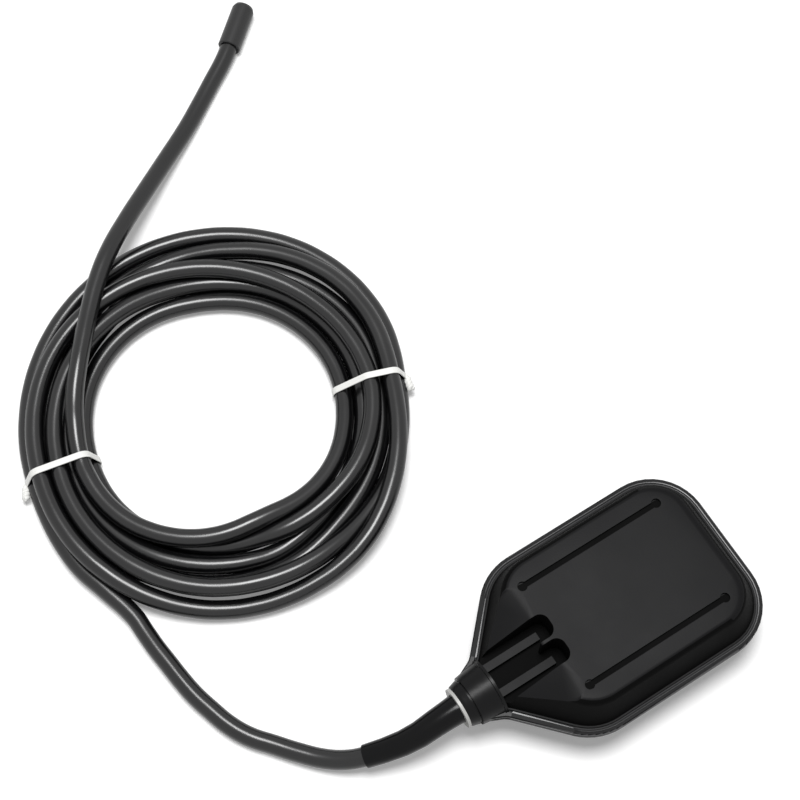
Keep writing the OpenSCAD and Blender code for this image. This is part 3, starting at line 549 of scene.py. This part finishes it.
class SWITCH_OT_inside(bpy.types.Operator):
    """Dresses the capsule, the ball and the lever switch inside the float"""

    bl_idname = "float_switch.inside"
    bl_label = "Switch inside"

    def execute(self, context):
        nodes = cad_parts
        # ABS, injection moulded: warm ivory, satin
        ivory = surface("abs_ivory_moulded", "D8D4C8", 0.42, 0.5 * MM, 0.02 * MM, spread=0.04, IOR=1.54)
        # Acetal, machined: milky and slick
        acetal = surface("acetal_natural_machined", "E6E2D6", 0.30, 0.4 * MM, 0.01 * MM, spread=0.03,
                         IOR=1.48)
        # Steel, bright zinc plated: cool grey, brushed by tumbling
        zinc = surface("steel_zinc_plated", "B9BCC0", 0.34, 0.3 * MM, 0.01 * MM, metallic=1.0)
        # Spring steel strip, rolled: drawn lines along the strip
        strip = surface("spring_steel_rolled", "C4C8CC", 0.28, 0.3 * MM, 0.01 * MM, metallic=1.0,
                        stretch=(8, 1, 8))
        # Bearing steel, ground and polished: a near mirror
        ball = surface("bearing_steel_polished", "D0D4D8", 0.10, 0.5 * MM, 0.002 * MM, spread=0.02,
                       metallic=1.0)
        # Phenolic case, compression moulded: dark slate with a slight gloss
        phenolic = surface("phenolic_slate_moulded", "23262E", 0.34, 0.5 * MM, 0.02 * MM, IOR=1.55)
        # Nylon button, moulded: brick red
        nylon = surface("nylon_red_moulded", "A83A2C", 0.36, 0.4 * MM, 0.01 * MM, IOR=1.53)
        # Brass strip, stamped: warm yellow
        brass = surface("brass_stamped", "C8A45A", 0.26, 0.3 * MM, 0.01 * MM, metallic=1.0)
        worn = {
            ivory: ["capsule_base", "capsule_cover"],
            acetal: ["ball_channel", "cable_clamp"],
            zinc: ["lever_pin", "clamp_screw_1", "clamp_screw_2", "cover_screw_1", "cover_screw_2",
                   "cover_screw_3", "cover_screw_4"],
            strip: ["switch_lever"],
            ball: ["steel_ball"],
            phenolic: ["switch_case"],
            nylon: ["switch_plunger"],
            brass: ["terminal_common", "terminal_open", "terminal_closed"],
        }
        for material, names in worn.items():
            for name in names:
                give(nodes[name], material)
        # PVC insulation, extruded: smooth colour on each core
        for node, colour in (("wire_brown", "6B4226"), ("wire_blue", "2F5FA8"), ("wire_black", "161616")):
            core = node.removeprefix("wire_")
            give(nodes[node], surface(f"pvc_{core}_extruded", colour, 0.35, 0.4 * MM, 0.01 * MM, IOR=1.53))
        return {"FINISHED"}


class SWITCH_OT_stage(bpy.types.Operator):
    """Builds the pale floor, the soft lamp, the world and the camera"""

    bl_idname = "float_switch.stage"
    bl_label = "Studio stage"

    def execute(self, context):
        scene = context.scene
        form = bmesh.new()
        bmesh.ops.create_grid(form, x_segments=1, y_segments=1, size=FLOOR_HALF)
        mesh = bpy.data.meshes.new("studio_floor")
        form.to_mesh(mesh)
        form.free()
        floor = bpy.data.objects.new("studio_floor", mesh)
        scene.collection.objects.link(floor)
        paper = bpy.data.materials.new("paper_white_matte")
        paper.use_nodes = True
        tree = paper.node_tree
        tree.nodes.clear()
        # Seamless paper: white to the camera, and it keeps the object's shadow
        matte = add(tree, "ShaderNodeBsdfDiffuse", Color=linear("F4F4F4"))
        glow = add(tree, "ShaderNodeEmission", Color=(1, 1, 1, 1), Strength=ROOM_LIGHT)
        path = add(tree, "ShaderNodeLightPath")
        both = add(tree, "ShaderNodeAddShader")
        tree.links.new(matte.outputs[0], both.inputs[0])
        tree.links.new(glow.outputs[0], both.inputs[1])
        seen = add(tree, "ShaderNodeMixShader", {"Fac": (path, "Is Camera Ray")})
        tree.links.new(matte.outputs[0], seen.inputs[1])
        tree.links.new(both.outputs[0], seen.inputs[2])
        add(tree, "ShaderNodeOutputMaterial", {"Surface": (seen, "Shader")})
        give(floor, paper)
        light = bpy.data.lights.new("overhead_softbox", "AREA")
        light.shape = "DISK"
        light.size = SOFTBOX_WIDTH
        light.energy = SOFTBOX_POWER
        self.aimed("overhead_softbox", light, Vector(SOFTBOX_PLACE), Vector(SOFTBOX_AIM))
        world = bpy.data.worlds.new("studio_world")
        scene.world = world
        world.use_nodes = True
        tree = world.node_tree
        tree.nodes.clear()
        path = add(tree, "ShaderNodeLightPath")
        sum_1 = add(tree, "ShaderNodeMath", operation="ADD")
        tree.links.new(path.outputs["Is Camera Ray"], sum_1.inputs[0])
        tree.links.new(path.outputs["Is Glossy Ray"], sum_1.inputs[1])
        sum_2 = add(tree, "ShaderNodeMath", operation="ADD", use_clamp=True)
        tree.links.new(sum_1.outputs[0], sum_2.inputs[0])
        tree.links.new(path.outputs["Is Transmission Ray"], sum_2.inputs[1])
        strength = add(tree, "ShaderNodeMapRange", {"Value": (sum_2, "Value")}, To_Min=ROOM_LIGHT, To_Max=1.0)
        sky = add(tree, "ShaderNodeBackground", {"Strength": (strength, "Result")}, Color=(1, 1, 1, 1))
        add(tree, "ShaderNodeOutputWorld", {"Surface": (sky, "Background")})
        scene.view_settings.view_transform = "Standard"
        lens = bpy.data.cameras.new("studio_camera")
        lens.sensor_fit = "HORIZONTAL"
        lens.sensor_width = SENSOR
        lens.lens = LENS
        scene.camera = self.aimed("studio_camera", lens, Vector(CAMERA_PLACE) * MM, Vector(CAMERA_AIM) * MM)
        return {"FINISHED"}

    @staticmethod
    def aimed(name, data, place, aim):
        """A lamp or camera at its place, turned to its aim."""
        item = bpy.data.objects.new(name, data)
        bpy.context.scene.collection.objects.link(item)
        item.location = place
        item.rotation_euler = (aim - item.location).to_track_quat("-Z", "Y").to_euler()
        return item


class SWITCH_PT_panel(bpy.types.Panel):
    """Lists the steps and settings of the float switch"""

    bl_idname = "SWITCH_PT_panel"
    bl_label = "Float switch"
    bl_space_type = "VIEW_3D"
    bl_region_type = "UI"
    bl_category = "Float switch"

    def draw(self, context):
        layout = self.layout
        for settings in (context.scene.float_switch_body, context.scene.float_switch_cable):
            for name in settings.__annotations__:
                layout.prop(settings, name)
        for step in STEPS:
            layout.operator(step.bl_idname)


STEPS = (SWITCH_OT_stage, SWITCH_OT_shells, SWITCH_OT_neck, SWITCH_OT_ties, SWITCH_OT_cable, SWITCH_OT_inside)
CLASSES = (FloatSwitchCable, FloatSwitchBody, *STEPS, SWITCH_PT_panel)


def register():
    for item in CLASSES:
        bpy.utils.register_class(item)
    bpy.types.Scene.float_switch_cable = bpy.props.PointerProperty(type=FloatSwitchCable)
    bpy.types.Scene.float_switch_body = bpy.props.PointerProperty(type=FloatSwitchBody)


def unregister():
    del bpy.types.Scene.float_switch_body
    del bpy.types.Scene.float_switch_cable
    for item in reversed(CLASSES):
        bpy.utils.unregister_class(item)


def main():
    register()
    for step in STEPS:
        group, name = step.bl_idname.split(".")
        getattr(getattr(bpy.ops, group), name)()
    bpy.context.view_layer.update()


if __name__ == "__main__":
    main()
